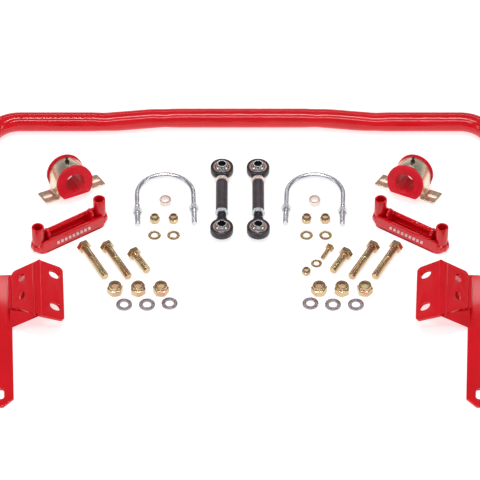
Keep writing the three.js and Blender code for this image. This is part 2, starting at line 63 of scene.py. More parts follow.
BRACKET = dict(plate=5, slope=30, turn=-3.1, ridge_height=46, ridge_length=122,
               inner=43, inner_length=116, outer=52, outer_length=83, wing_corner=8,
               inner_slot=(18, 15.5), inner_slot_x=27, inner_slot_y=(-21, -91),
               outer_slot=(10, 16), outer_slot_x=33, outer_slot_y=(-23, -62),
               foot_offset=45, foot_width=81, foot_rear=9, foot_front=-273, foot_corner=16,
               foot_slot=(10.5, 22), foot_slot_inset=26, foot_slot_margin=20,
               foot_tab=33, foot_tab_front=-84, gusset_foot=-106)
HALF = dict(diameter=0.5 * INCH, flats=0.75 * INCH, head=8, pitch=1.954)
HALF_NUT = dict(diameter=0.5 * INCH, flats=0.875 * INCH)
THREE_EIGHTHS = dict(diameter=0.375 * INCH, flats=0.5625 * INCH, pitch=1.5875)
FIVE_SIXTEENTHS = dict(diameter=0.3125 * INCH, flats=0.5 * INCH, head=5.2, pitch=1.411)
LONG_BOLT, SHORT_BOLT, SMALL_BOLT = 2.75 * INCH, 1.5 * INCH, 0.875 * INCH
GAP = 0.3

# ------------------------------------------------------------------------- mesh helpers


class Soup:
    """Vertices and faces gathered in millimetres, then made into one object."""

    def __init__(self):
        self.verts, self.faces = [], []

    def add(self, verts, faces, matrix=None):
        start = len(self.verts)
        matrix = matrix or Matrix.Identity(4)
        self.verts += [matrix @ Vector(v) for v in verts]
        self.faces += [[i + start for i in face] for face in faces]
        return self

    def mesh(self, name, matrix=None, mirror=False, sharp=32):
        scale = Matrix.Diagonal((-1 if mirror else 1, 1, 1, 1))
        total = scale @ (matrix or Matrix.Identity(4))
        mesh = bpy.data.meshes.new(name)
        points = [tuple((total @ v) * MM) for v in self.verts]
        faces = [list(reversed(f)) for f in self.faces] if mirror else self.faces
        mesh.from_pydata(points, [], faces)
        mesh.validate()
        mesh.shade_smooth()
        mesh.set_sharp_from_angle(angle=math.radians(sharp))
        return mesh


def turn(axis, degrees):
    return Matrix.Rotation(math.radians(degrees), 4, axis)


def shift(x=0, y=0, z=0):
    return Matrix.Translation((x, y, z))


def ring_faces(rows, columns, wrap_rows=False):
    """Faces of a grid whose columns close on themselves."""
    faces = []
    for i in range(rows if wrap_rows else rows - 1):
        here, above = i * columns, ((i + 1) % rows) * columns
        for j in range(columns):
            k = (j + 1) % columns
            faces.append([here + j, here + k, above + k, above + j])
    return faces


def lathe(profile, segments=56):
    """A ring turned about Z from a closed profile of (radius, z), counter-clockwise."""
    verts = [(r * math.cos(a), r * math.sin(a), z) for r, z in profile
             for a in (2 * math.pi * j / segments for j in range(segments))]
    return verts, ring_faces(len(profile), segments, wrap_rows=True)


def capped(rows, columns, verts):
    """A closed sleeve of rows of points, with a flat cap on each end."""
    faces = ring_faces(rows, columns)
    faces.append(list(reversed(range(columns))))
    faces.append([(rows - 1) * columns + j for j in range(columns)])
    return verts, faces


def arc(cx, cy, radius, start, end, steps):
    """Points along an arc, its angles in degrees."""
    return [(cx + radius * math.cos(math.radians(start + (end - start) * i / steps)),
             cy + radius * math.sin(math.radians(start + (end - start) * i / steps)))
            for i in range(steps + 1)]


def rounded(profile, radius, steps=3):
    """A closed outline with each corner rounded."""
    out, count = [], len(profile)
    for i, point in enumerate(profile):
        p, a, b = Vector(point), Vector(profile[i - 1]), Vector(profile[(i + 1) % count])
        cut = min(radius, (a - p).length * 0.45, (b - p).length * 0.45)
        first, last = p + (a - p).normalized() * cut, p + (b - p).normalized() * cut
        for k in range(steps + 1):
            t = k / steps
            out.append(tuple(first * (1 - t) ** 2 + p * 2 * t * (1 - t) + last * t * t))
    return out


def slot_outline(length, width, cx=0, cy=0, along="x"):
    """A round-ended slot."""
    reach, r = (length - width) / 2, width / 2
    points = arc(reach, 0, r, -90, 90, 12) + arc(-reach, 0, r, 90, 270, 12)
    if along == "y":
        points = [(-y, x) for x, y in points]
    return [(x + cx, y + cy) for x, y in points]


def plate(outline, holes, thickness, bevel=0.6):
    """A flat plate in X and Y with holes, centred on z = 0, every edge eased."""
    curve = bpy.data.curves.new("outline", "CURVE")
    curve.dimensions, curve.fill_mode = "2D", "BOTH"
    curve.extrude, curve.bevel_depth = thickness / 2 - bevel, bevel
    curve.bevel_resolution, curve.offset = 2, -bevel
    for loop in [outline] + list(holes):
        area = sum(a[0] * b[1] - b[0] * a[1] for a, b in zip(loop, loop[1:] + loop[:1]))
        points = loop if (area > 0) == (loop is outline) else loop[::-1]
        spline = curve.splines.new("POLY")
        spline.points.add(len(points) - 1)
        for spot, (x, y) in zip(spline.points, points):
            spot.co = (x, y, 0, 1)
        spline.use_cyclic_u = True
    holder = bpy.data.objects.new("outline", curve)
    bpy.context.collection.objects.link(holder)
    bpy.context.view_layer.update()
    depsgraph = bpy.context.evaluated_depsgraph_get()
    mesh = bpy.data.meshes.new_from_object(holder.evaluated_get(depsgraph))
    verts = [tuple(v.co) for v in mesh.vertices]
    faces = [list(p.vertices) for p in mesh.polygons]
    bpy.data.objects.remove(holder)
    bpy.data.curves.remove(curve)
    bpy.data.meshes.remove(mesh)
    return welded(verts, faces)


def welded(verts, faces):
    """The same surface with points that coincide made one."""
    seen, order, remap = {}, [], []
    for v in verts:
        key = tuple(round(c, 3) for c in v)
        if key not in seen:
            seen[key] = len(order)
            order.append(v)
        remap.append(seen[key])
    joined = []
    for face in faces:
        loop = [remap[i] for i in face]
        loop = [v for k, v in enumerate(loop) if v != loop[k - 1]]
        if len(set(loop)) > 2:
            joined.append(loop)
    return order, joined


def sweep(path, sections, columns=32):
    """A solid along a path in X and Y; sections gives half width and half height per point."""
    verts = []
    for i, point in enumerate(path):
        before, after = Vector(path[max(i - 1, 0)]), Vector(path[min(i + 1, len(path) - 1)])
        along = (after - before).normalized()
        across = Vector((-along.y, along.x))
        half, height, power = sections(i)
        for j in range(columns):
            a = 2 * math.pi * j / columns
            c, s = math.cos(a), math.sin(a)
            x = half * math.copysign(abs(c) ** power, c)
            z = height * math.copysign(abs(s) ** power, s)
            verts.append((point[0] + across.x * x, point[1] + across.y * x, z))
    return capped(len(path), columns, verts)


def screw(diameter, length, pitch, plain=0.0, columns=28, rows_per_turn=6):
    """A rod along +Z from z = 0 with a rolled thread beyond its plain part and an eased tip."""
    depth = 0.54 * pitch
    rows = max(int(length / pitch * rows_per_turn), 8)
    tip = 0.8 * pitch
    verts = []
    for i in range(rows + 1):
        z = length * i / rows
        fade = min(max((z - plain) / (1.5 * pitch), 0), 1)
        taper = max(z - (length - tip), 0) / tip * depth * 1.1
        for j in range(columns):
            phase = (z / pitch - j / columns) % 1
            cut = fade * depth * abs(2 * phase - 1)
            radius = min(diameter / 2 - cut, diameter / 2 - taper)
            a = 2 * math.pi * j / columns
            verts.append((radius * math.cos(a), radius * math.sin(a), z))
    return capped(rows + 1, columns, verts)


def hexagon(flats, height, bore, top=True, bottom=True, columns=72):
    """A hexagon with chamfered corners; bore is its hole's radius, or 0 for a bolt head."""
    crown = flats / 2 * 0.97
    slope = math.tan(math.radians(28))

    def corner(j):
        a = 2 * math.pi * j / columns
        return flats / 2 / math.cos((a + math.pi / 6) % (math.pi / 3) - math.pi / 6)

    inner = bore if bore else 0.02
    lead = 0.7 if bore else 0
    rows = [lambda j: (inner + lead, 0), lambda j: (crown, 0),
            lambda j: (corner(j), (corner(j) - crown) * slope if bottom else 0),
            lambda j: (corner(j), height - ((corner(j) - crown) * slope if top else 0)),
            lambda j: (crown, height), lambda j: (inner + lead, height)]
    if bore:
        rows += [lambda j: (inner, height - lead), lambda j: (inner, lead)]
    verts = []
    for row in rows:
        for j in range(columns):
            r, z = row(j)
            a = 2 * math.pi * j / columns + math.pi / 6
            verts.append((r * math.cos(a), r * math.sin(a), z))
    if bore:
        return verts, ring_faces(len(rows), columns, wrap_rows=True)
    return capped(len(rows), columns, verts)


def bead(path, radius=1.6, step=1.7):
    """A weld bead: overlapping drops laid along a straight line of two points."""
    start, end = Vector(path[0]), Vector(path[1])
    along = (end - start).normalized()
    side = along.orthogonal().normalized()
    up = along.cross(side)
    rows = max(int((end - start).length / (step / 4)), 8)
    columns, verts = 10, []
    for i in range(rows + 1):
        t = i / rows
        swell = radius * (0.78 + 0.22 * abs(math.sin(math.pi * t * (end - start).length / step)))
        if i in (0, rows):
            swell *= 0.4
        centre = start.lerp(end, t)
        for j in range(columns):
            a = 2 * math.pi * j / columns
            verts.append(tuple(centre + side * swell * math.cos(a) + up * swell * math.sin(a)))
    return capped(rows + 1, columns, verts)


# ---------------------------------------------------------------------------- materials


def new_material(name, colour, roughness, metallic=0.0):
    material = bpy.data.materials.new(name)
    material.use_nodes = True
    shader = material.node_tree.nodes["Principled BSDF"]
    shader.inputs["Base Color"].default_value = (*colour, 1)
    shader.inputs["Roughness"].default_value = roughness
    shader.inputs["Metallic"].default_value = metallic
    return material, material.node_tree, shader


def noise_factor(tree, scale, detail=3.0, stretch=(1, 1, 1)):
    """Noise in the object's own space, per metre."""
    place = tree.nodes.new("ShaderNodeTexCoord")
    mapping = tree.nodes.new("ShaderNodeMapping")
    mapping.inputs["Scale"].default_value = stretch
    texture = tree.nodes.new("ShaderNodeTexNoise")
    texture.inputs["Scale"].default_value = scale
    texture.inputs["Detail"].default_value = detail
    tree.links.new(place.outputs["Object"], mapping.inputs["Vector"])
    tree.links.new(mapping.outputs["Vector"], texture.inputs["Vector"])
    return texture.outputs["Fac"]


def ramp(tree, factor, stops):
    node = tree.nodes.new("ShaderNodeValToRGB")
    while len(node.color_ramp.elements) < len(stops):
        node.color_ramp.elements.new(0.5)
    for element, (position, colour) in zip(node.color_ramp.elements, stops):
        element.position, element.color = position, (*colour, 1)
    tree.links.new(factor, node.inputs["Fac"])
    return node.outputs["Color"]


def spread(tree, factor, low, high):
    """A factor mapped to a range of values."""
    node = tree.nodes.new("ShaderNodeMapRange")
    node.inputs["From Min"].default_value, node.inputs["From Max"].default_value = 0.3, 0.7
    node.inputs["To Min"].default_value, node.inputs["To Max"].default_value = low, high
    tree.links.new(factor, node.inputs["Value"])
    return node.outputs["Result"]


def bump(tree, shader, factor, strength, distance=0.0004):
    node = tree.nodes.new("ShaderNodeBump")
    node.inputs["Strength"].default_value = strength
    node.inputs["Distance"].default_value = distance
    tree.links.new(factor, node.inputs["Height"])
    tree.links.new(node.outputs["Normal"], shader.inputs["Normal"])


def varied(name, stops, roughness, metallic, colour_scale, grain_scale, grain, coat=0.0,
           stretch=(1, 1, 1), distance=0.0004, specular=0.5):
    """A finish whose colour wanders, whose gloss varies and whose surface has a fine grain."""
    material, tree, shader = new_material(name, stops[0][1], roughness[0], metallic)
    wander = noise_factor(tree, colour_scale, 2, stretch)
    tree.links.new(ramp(tree, wander, stops), shader.inputs["Base Color"])
    fine = noise_factor(tree, grain_scale, 4, stretch)
    tree.links.new(spread(tree, fine, *roughness), shader.inputs["Roughness"])
    bump(tree, shader, fine, grain, distance)
    shader.inputs["Coat Weight"].default_value = coat
    shader.inputs["Coat Roughness"].default_value = 0.06
    shader.inputs["Specular IOR Level"].default_value = specular
    return material


RED_COAT = varied("red_powder_coat", [(0.3, (0.66, 0.004, 0.010)), (0.7, (0.74, 0.006, 0.015))],
                  (0.07, 0.12), 0.0, 18, 500, 0.02, specular=0.45)
RED_URETHANE = varied("red_urethane", [(0.3, (0.68, 0.004, 0.018)), (0.7, (0.78, 0.008, 0.028))],
                      (0.34, 0.5), 0.0, 60, 1400, 0.16, specular=0.25)
GOLD_ZINC = varied("gold_zinc", [(0.30, (0.56, 0.33, 0.24)), (0.44, (0.60, 0.41, 0.24)),
                                 (0.58, (0.66, 0.50, 0.29)), (0.72, (0.48, 0.42, 0.22))],
                   (0.16, 0.28), 1.0, 60, 900, 0.06)
PALE_GOLD_ZINC = varied("pale_gold_zinc", [(0.30, (0.80, 0.58, 0.50)), (0.44, (0.80, 0.68, 0.48)),
                                           (0.58, (0.84, 0.76, 0.58)), (0.72, (0.72, 0.68, 0.46))],
                        (0.24, 0.36), 1.0, 60, 900, 0.06)
SILVER_ZINC = varied("silver_zinc", [(0.35, (0.62, 0.64, 0.68)), (0.65, (0.74, 0.74, 0.77))],
                     (0.2, 0.36), 1.0, 80, 1100, 0.1)
PINK_ZINC = varied("pink_zinc", [(0.35, (0.72, 0.55, 0.50)), (0.65, (0.80, 0.70, 0.64))],
                   (0.22, 0.36), 1.0, 90, 1100, 0.1)
GREY_ZINC = varied("grey_zinc", [(0.35, (0.40, 0.33, 0.34)), (0.65, (0.52, 0.44, 0.46))],
                   (0.3, 0.45), 1.0, 150, 1300, 0.14)
TUBE_BLACK = varied("tube_black", [(0.35, (0.060, 0.048, 0.056)), (0.65, (0.085, 0.070, 0.080))],
                    (0.42, 0.55), 0.25, 90, 1500, 0.12)
BLACK_OXIDE = varied("black_oxide", [(0.35, (0.030, 0.026, 0.032)), (0.65, (0.055, 0.048, 0.056))],
                     (0.26, 0.4), 0.55, 90, 1200, 0.12)
RACE_BRONZE = varied("race_bronze", [(0.35, (0.45, 0.30, 0.24)), (0.65, (0.60, 0.42, 0.34))],
                     (0.26, 0.4), 1.0, 120, 1200, 0.1)
CHROME = varied("chrome", [(0.35, (0.66, 0.65, 0.69)), (0.65, (0.74, 0.73, 0.76))],
                (0.2, 0.28), 1.0, 60, 900, 0.02)
# Dark brown for the nylon rings is painted shade: it stands for the shade in each locknut's hole, not the
# nylon's own colour.
NYLON_AND_HOLE_SHADE = varied("nylon", [(0.35, (0.22, 0.14, 0.07)), (0.65, (0.32, 0.21, 0.11))],
               (0.4, 0.55), 0.0, 120, 1300, 0.1)
# Pale pink on the raised bars is painted highlight: it stands for the light the raised lettering catches.
PAINTED_HIGHLIGHT = varied("painted_highlight", [(0.35, (0.74, 0.52, 0.54)), (0.65, (0.82, 0.62, 0.64))],
                   (0.3, 0.4), 0.0, 60, 900, 0.05)
# Black of the grease fittings, and painted shade on the sleeve inside each link ball's bore.
BLACK_FITTING_AND_BORE_SHADE = varied("fitting_black_and_bore_shade", [(0.35, (0.020, 0.022, 0.022)), (0.65, (0.045, 0.050, 0.048))],
                      (0.25, 0.4), 0.6, 150, 1300, 0.1)


# ------------------------------------------------------------------ making and placing pieces


def middle(node):
    low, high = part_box(node)
    return (low + high) / 2


def piece(name, soup, node, material, matrix=None, side=1, body="kit", sharp=32,
          stands_for=True, align=True):
    """A finer piece of millimetre geometry, set where its CAD node is, riding on its body."""
    mesh = soup.mesh(name, matrix, mirror=side < 0, sharp=sharp)
    mesh.materials.append(material)
    obj = bpy.data.objects.new(name, mesh)
    bpy.context.collection.objects.link(obj)
    if align:
        points = [v.co for v in mesh.vertices]
        low = Vector([min(p[i] for p in points) for i in range(3)])
        high = Vector([max(p[i] for p in points) for i in range(3)])
        mesh.transform(Matrix.Translation(middle(node) - (low + high) / 2))
    if stands_for:
        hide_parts(node)
    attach(obj, body)
    return obj


def set_at(spot):
    """A matrix in millimetres that moves geometry to a place given in metres."""
    return Matrix.Translation(Vector(spot) / MM)


# ------------------------------------------------------------------------------ sway bar


def bar_half(distance):
    """The bar's line from the middle to one arm's end."""
    b = BAR
    if distance <= b["bend_start"]:
        t = min(max((distance - b["middle"]) / (b["kink_end"] - b["middle"]), 0), 1)
        return Vector((distance, b["offset"] * (1 - t * t * (3 - 2 * t))))
    bend = math.radians(b["bend_angle"])
    angle = min((distance - b["bend_start"]) / b["bend_radius"], bend)
    rest = max(distance - b["bend_start"] - b["bend_radius"] * bend, 0)
    return Vector((b["bend_start"] + b["bend_radius"] * math.sin(angle) + rest * math.cos(bend),
                   -b["bend_radius"] * (1 - math.cos(angle)) - rest * math.sin(bend)))


def bar_path():
    b = BAR
    half = b["bend_start"] + b["bend_radius"] * math.radians(b["bend_angle"]) + b["arm"]
    right = [bar_half(half * i / 150) for i in range(151)]
    left = [Vector((-p.x, p.y)) for p in reversed(right[1:])]
    return left + right, half / 150


def sway_bar():
    """The bent bar, pressed a little flat at each offset bend, with an eye forged at each end."""
    b = BAR
    path, step = bar_path()
    radius, flat = b["diameter"] / 2, b["flat"] / 2
    forge = 26

    def section(i):
        reach = min(i, len(path) - 1 - i) * step
        t = min(max(reach / forge, 0), 1)
        t = t * t * (3 - 2 * t)
        from_middle = abs(i - (len(path) - 1) / 2) * step
        pinch = sum(math.exp(-((from_middle - spot) / b["pinch_width"]) ** 2) for spot in b["pinch_at"])
        return flat + (radius - flat) * t, radius - b["pinch"] * pinch, 0.55 + 0.45 * t

    soup = Soup().add(*sweep(path, section, 48))
    outline = [(-2, -radius)] + arc(b["eye"], 0, radius, -90, 90, 28) + [(-2, radius)]
    hole = arc(b["eye"], 0, b["bore"] / 2, 0, 360, 36)[:-1]
    eye = plate(outline, [hole], b["flat"], 1.4)
    for side in (-1, 1):
        end = path[-1] if side > 0 else path[0]
        heading = -b["bend_angle"] if side > 0 else 180 + b["bend_angle"]
        soup.add(*eye, shift(end.x, end.y) @ turn("Z", heading) @ turn("X", 90))
    return piece("sway_bar_fine", soup, "sway_bar", RED_COAT)


# --------------------------------------------------------------------- bushing and strap


def d_outline(radius, base, inset=0.0):
    """The bushing's outline seen along its bore: round above, drawn in to a flat base."""
    b = BUSHING
    lower = base / 2 + (radius - base / 2) * b["flare"]
    foot = (base - b["shoulder"]) / 2 - inset
    top = arc(0, b["bore_height"], radius - inset, 0, 180, 40)
    shape = [(-foot, inset), (foot, inset), (lower - inset, b["shoulder"])] + top
    shape.append((-lower + inset, b["shoulder"]))
    return rounded(shape, 2.0, 2)


def resampled(loop, count):
    """A closed loop of evenly spaced points, starting above the base's middle."""
    points = [Vector(p) for p in loop]
    centre = Vector((0, BUSHING["bore_height"]))
    out = []
    for k in range(count):
        a = 2 * math.pi * k / count
        ray = Vector((math.cos(a), math.sin(a)))
        best = 0.0
        for p, q in zip(points, points[1:] + points[:1]):
            d = q - p
            cross = ray.x * d.y - ray.y * d.x
            if abs(cross) < 1e-9:
                continue
            rel = p - centre
            t = (rel.x * d.y - rel.y * d.x) / cross
            u = (rel.x * ray.y - rel.y * ray.x) / cross
            if t > best and -1e-6 <= u <= 1 + 1e-6:
                best = t
        out.append(centre + ray * best)
    return out


def bushing_matrix():
    return turn("Z", BUSHING["turn"]) @ turn("X", -BUSHING["lean"]) @ shift(0, -BUSHING["length"] / 2, 0)


def bushing(label, side):
    """A moulded D with two rims, a waist for the strap and a fluted bore."""
    b = BUSHING
    half, face, count = b["length"] / 2, b["length"] / 2 - b["rim"], 96
    full = d_outline(b["radius"], b["base"])
    eased = d_outline(b["radius"], b["base"], 0.9)
    waist = d_outline(b["waist"], b["waist_base"])
    stations = [(eased, -half), (full, -half + 0.9), (full, -face - 0.5), (waist, -face),
                (waist, face), (full, face + 0.5), (full, half - 0.9), (eased, half)]
    verts = []
    for loop, y in stations:
        verts += [(p.x, y, p.y) for p in resampled(loop, count)]
    bore = b["bore"] / 2
    for radius, y in ((bore + 1.2, half), (bore, half - 1.2), (bore, face), (bore - 0.1, 0),
                      (bore, -face), (bore, -half + 1.2), (bore + 1.2, -half)):
        for k in range(count):
            a = 2 * math.pi * k / count
            flute = 0.5 * max(math.cos(12 * a), 0) if abs(y) < half - 2 else 0
            reach = radius + flute
            verts.append((reach * math.cos(a), y, reach * math.sin(a) + b["bore_height"]))
    soup = Soup().add(verts, [f[::-1] for f in ring_faces(len(stations) + 7, count, wrap_rows=True)])
    return piece(f"bushing_fine_{label}", soup, f"bushing_{label}", RED_URETHANE,
                 bushing_matrix(), side, sharp=38)


def strap(label, side):
    """A bent strap over the waist with a slotted ear each side."""
    b, s = BUSHING, STRAP
    inner, thick = b["waist"] + GAP, s["thickness"]
    outer, reach = inner + thick, s["length"] / 2
    half = b["length"] / 2 - b["rim"] - GAP
    bend = 3.0
    line = [(-reach, thick / 2), (-inner - bend - thick / 2, thick / 2)]
    line += arc(-inner - thick / 2 - bend, thick / 2 + bend, bend, -90, 0, 5)
    line += arc(0, b["bore_height"], inner + thick / 2, 180, 0, 48)
    line += arc(inner + thick / 2 + bend, thick / 2 + bend, bend, 180, 270, 5)
    line += [(inner + bend + thick / 2, thick / 2), (reach, thick / 2)]
    ear_start = inner + bend + thick
    arch = [p for p in line if abs(p[0]) < ear_start + 0.6 or p[1] > thick]
    verts, ease = [], 0.5
    for i, p in enumerate(arch):
        before, after = Vector(arch[max(i - 1, 0)]), Vector(arch[min(i + 1, len(arch) - 1)])
        along = (after - before).normalized()
        normal = Vector((-along.y, along.x))
        corners = [(-thick / 2, -half), (thick / 2, -half), (thick / 2, half), (-thick / 2, half)]
        ring = rounded(corners, ease, 2)
        verts += [(p[0] + normal.x * u, v, p[1] + normal.y * u) for u, v in ring]
    soup = Soup().add(*capped(len(arch), len(verts) // len(arch), verts))
    ear = reach - ear_start + 1.5
    for flip in (-1, 1):
        outline = rounded([(0, -half), (ear, -half), (ear, half), (0, half)], 2.4, 4)
        hole = slot_outline(*s["slot"], s["slot_spacing"] / 2 - ear_start + 1.5, 0)
        flat = plate(outline, [hole], thick, 0.5)
        soup.add(*flat, turn("Z", 0 if flip > 0 else 180) @ shift(ear_start - 1.5, 0, thick / 2))
    body = piece(f"strap_fine_{label}", soup, f"bushing_strap_{label}", PALE_GOLD_ZINC,
                 strap_place(label), side, align=False)
    grease_fitting(label, side, b["bore_height"] + outer)
    return body


def strap_place(label):
    """Where the strap's own frame is: on the bushing's, whose box has been matched."""
    return set_at(BUSHING_ORIGIN[label]) @ bushing_matrix()


def bushing_origin(label, side):
    """The middle of the rear edge that the bushing leans on, drawn for the right side."""
    lean = bushing_matrix()
    half = BUSHING["length"] / 2
    foot = [lean @ Vector((p.x, y, p.y)) for y in (-half, half)
            for p in resampled(d_outline(BUSHING["radius"], BUSHING["base"]), 96)]
    centre = Vector([(min(p[i] for p in foot) + max(p[i] for p in foot)) / 2 for i in range(3)])
    target = middle(f"bushing_{label}")
    target.x *= side
    return target - centre * MM


def grease_fitting(label, side, top):
    """A small black nipple with a hexagon foot on the strap's crown."""
    foot = hexagon(7.0, 3.0, 0, columns=48)
    nipple = lathe([(0.4, 0), (1.9, 0), (2.3, 1.2), (1.7, 2.6), (1.9, 3.8), (2.6, 4.6), (2.5, 5.6),
                    (1.4, 6.6), (0.4, 6.8)], 28)
    soup = Soup().add(*foot, shift(0, 0, top - 0.3)).add(*nipple, shift(0, 0, top + 2.4))
    return piece(f"grease_fitting_{label}", soup, f"bushing_strap_{label}", BLACK_FITTING_AND_BORE_SHADE,
                 strap_place(label), side, align=False)


# ---------------------------------------------------------------------------- axle mount


def axle_mount(label, side):
    """A welded channel with a sleeve at each end and a lugged web beside each sleeve."""
    m = MOUNT
    half, width, rise = m["spacing"] / 2, m["width"], m["wall_height"]
    end = (m["length"] - width) / 2
    outline = arc(end, 0, width / 2, -90, 90, 20) + arc(-end, 0, width / 2, 90, 270, 20)
    bores = [arc(x, 0, m["bore"] / 2, 0, 360, 32)[:-1] for x in (-half, half)]
    soup = Soup().add(*plate(outline, bores, m["base"], 0.7), shift(0, 0, m["base"] / 2))
    reach = (m["length"] - width / 2) / 2
    wall = plate(rounded([(-reach, 0.5), (reach, 0.5), (reach, rise), (-reach, rise)], 3.5, 4),
                 [], m["wall"], 0.9)
    for flip in (-1, 1):
        soup.add(*wall, shift(0, flip * (width - m["wall"]) / 2, 0) @ turn("X", 90))
    across = width / 2 - 1
    web = plate([(-across, 0.5), (across, 0.5), (across, rise - 1), (-across, rise - 1)], [], m["wall"], 0.8)
    lug = plate(arc(0, m["lug_height"], m["lug"], 0, 360, 32)[:-1], [], m["wall"], 1.0)
    sleeve_ring = [(m["bore"] / 2, m["foot"]), (m["tube"] / 2, m["foot"]), (m["tube"] / 2, m["top"]),
                   (m["bore"] / 2, m["top"])]
    sleeve = lathe(rounded(sleeve_ring, 1.0, 3), 48)
    upright = turn("Z", 90) @ turn("X", 90)
    inside = width / 2 - m["wall"]
    for flip in (-1, 1):
        x = flip * half
        web_x = x - flip * m["web"]
        soup.add(*web, shift(web_x, 0, 0) @ upright)
        soup.add(*lug, shift(web_x, 0, 0) @ upright)
        soup.add(*sleeve, shift(x, 0, 0))
        soup.add(*weld_collar(m), shift(x, 0, 0))
        for edge in (-1, 1):
            foot = web_x - flip * m["wall"] / 2
            soup.add(*bead([(foot, edge * inside, m["base"]), (foot, edge * inside, rise - 2)], 1.5))
            soup.add(*bead([(foot, edge * inside, m["base"]), (0, edge * inside, m["base"])], 1.4))
    node = f"axle_mount_{label}"
    heading = turn("Z", m["turn"])
    # The raised bars get a pale colour as painted highlight.
    bar_highlights = Soup()
    emblem_bars(bar_highlights, -width / 2)
    runs = m["spacing"] / 2 - m["web"] - m["wall"]
    soup.add(*bead([(-runs, inside, rise - 4), (runs, inside, rise - 4)], 2.6, 9))
    soup.add(*bead([(-runs, inside, m["base"] + 2), (runs, inside, m["base"] + 2)], 2.6, 9))
    low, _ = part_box(node)
    spot = middle(node)
    spot.x, spot.z = spot.x * side, low.z
    piece(f"axle_mount_marks_{label}", bar_highlights, node, PAINTED_HIGHLIGHT, set_at(spot) @ heading,
          side, align=False)
    return piece(f"axle_mount_fine_{label}", soup, node, RED_COAT, heading, side)


def weld_collar(m, lobes=9):
    """The lumpy ring of weld around a sleeve's foot."""
    segments, rows, verts = 72, 12, []
    inner, outer = m["bore"] / 2 + 1, m["collar"]
    middle_z, half = m["foot"] + m["collar_height"] / 2, m["collar_height"] / 2
    for i in range(rows):
        a = 2 * math.pi * i / rows
        for j in range(segments):
            b = 2 * math.pi * j / segments
            swell = 1 - 0.07 * (1 + math.cos(lobes * b)) / 2
            radius = (inner + outer * swell) / 2 + (outer * swell - inner) / 2 * math.cos(a)
            verts.append((radius * math.cos(b), radius * math.sin(b), middle_z + half * math.sin(a)))
    return verts, ring_faces(rows, segments, wrap_rows=True)


def emblem_bars(soup, y):
    """A plain row of raised bars on the front wall, with no letters; their pale colour is painted highlight.
    """
    count, pitch = 9, 7.2
    bar = plate(rounded([(-2.4, -3), (2.0, -3), (2.8, 3), (-1.6, 3)], 0.8, 2), [], 0.8, 0.25)
    for i in range(count):
        soup.add(*bar, shift((i - (count - 1) / 2) * pitch, y - 0.2, 13) @ turn("X", 90))


# ------------------------------------------------------------------------------- U-bolts


def u_bolt(label, side):
    u = U_BOLT
    reach, start = u["span"] / 2, u["leg"] - u["threaded"] + 0.5
    path = [(reach, -start), (reach, 0)] + arc(0, 0, reach, 0, 180, 60)[1:] + [(-reach, -start)]
    radius = u["rod"] / 2
    soup = Soup().add(*sweep(path, lambda i: (radius, radius, 1.0), 28))
    for x in (-reach, reach):
        thread = screw(u["thread"], u["threaded"], THREE_EIGHTHS["pitch"])
        soup.add(*thread, shift(x, -start, 0) @ turn("X", 90))
    return piece(f"u_bolt_fine_{label}", soup, f"u_bolt_{label}", SILVER_ZINC,
                 turn("Z", u["turn"]), side)


# ----------------------------------------------------------------------------- fasteners


def box_height(node, axis=2):
    low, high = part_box(node)
    return (high[axis] - low[axis]) / MM


def plain_nut(node, size, height, material, matrix, side=1, body="kit"):
    soup = Soup().add(*hexagon(size["flats"], height, size["diameter"] / 2 + GAP))
    return piece(f"{node}_fine", soup, node, material, matrix, side, body)


def locknut(node, size, heading):
    """A hexagon nut under a rolled collar that holds a nylon ring."""
    total = box_height(node)
    bore, crown = size["diameter"] / 2 + GAP, size["flats"] / 2 * 0.92
    hexed = 0.68 * total
    soup = Soup().add(*hexagon(size["flats"], hexed, bore, top=True))
    collar = [(bore + 0.8, hexed - 0.6), (crown, hexed - 0.6), (crown, total - 1.6),
              (crown - 0.5, total - 0.6), (crown - 1.5, total), (bore + 1.9, total - 0.3),
              (bore + 1.7, total - 0.9)]
    soup.add(*lathe(collar, 56))
    obj = piece(f"{node}_fine", soup, node, GOLD_ZINC, turn("Z", heading))
    # The ring's dark colour is painted shade of the nut's hole.
    ring = [(bore, total - 3.6), (bore + 2.2, total - 3.6), (bore + 2.2, total - 1.0),
            (bore + 0.3, total - 0.9), (bore, total - 1.3)]
    spot = middle(node) - Vector((0, 0, total / 2 * MM))
    piece(f"{node}_ring", Soup().add(*lathe(ring, 40)), node, NYLON_AND_HOLE_SHADE, set_at(spot), align=False)
    return obj


def ring_piece(node, bore, material, edge=0.45):
    """A washer or sleeve: a flat ring with eased edges, its sizes from its CAD node."""
    low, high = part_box(node)
    outer, height = (high.y - low.y) / 2 / MM, box_height(node)
    profile = rounded([(bore / 2, 0), (outer, 0), (outer, height), (bore / 2, height)], edge, 3)
    return piece(f"{node}_fine", Soup().add(*lathe(profile, 56)), node, material)


def bolt(node, size, length, side, heading, plain):
    """A hexagon bolt lying on a flat of its head and the edge of its tip."""
    head = size["head"]
    soup = Soup().add(*hexagon(size["flats"], head, 0, bottom=False), turn("X", 180))
    dish = lathe([(0.5, 0.05), (size["flats"] * 0.30, 0.05), (size["flats"] * 0.33, 0.3), (0.5, 0.3)], 40)
    soup.add(*dish)
    face = size["flats"] * 0.46
    washer_face = lathe([(1, -head - 0.5), (face, -head - 0.5), (face, -head + 0.3), (1, -head + 0.3)], 40)
    soup.add(*washer_face)
    shank = screw(size["diameter"], length, size["pitch"], plain)
    soup.add(*shank, shift(0, 0, -head + 0.01) @ turn("X", 180))
    lean = math.degrees(math.asin((size["flats"] - size["diameter"]) / 2 / (length + head)))
    matrix = turn("Z", heading) @ turn("X", -90 + lean)
    return piece(f"{node}_fine", soup, node, GOLD_ZINC, matrix, side)


# ----------------------------------------------------------------------------- end links


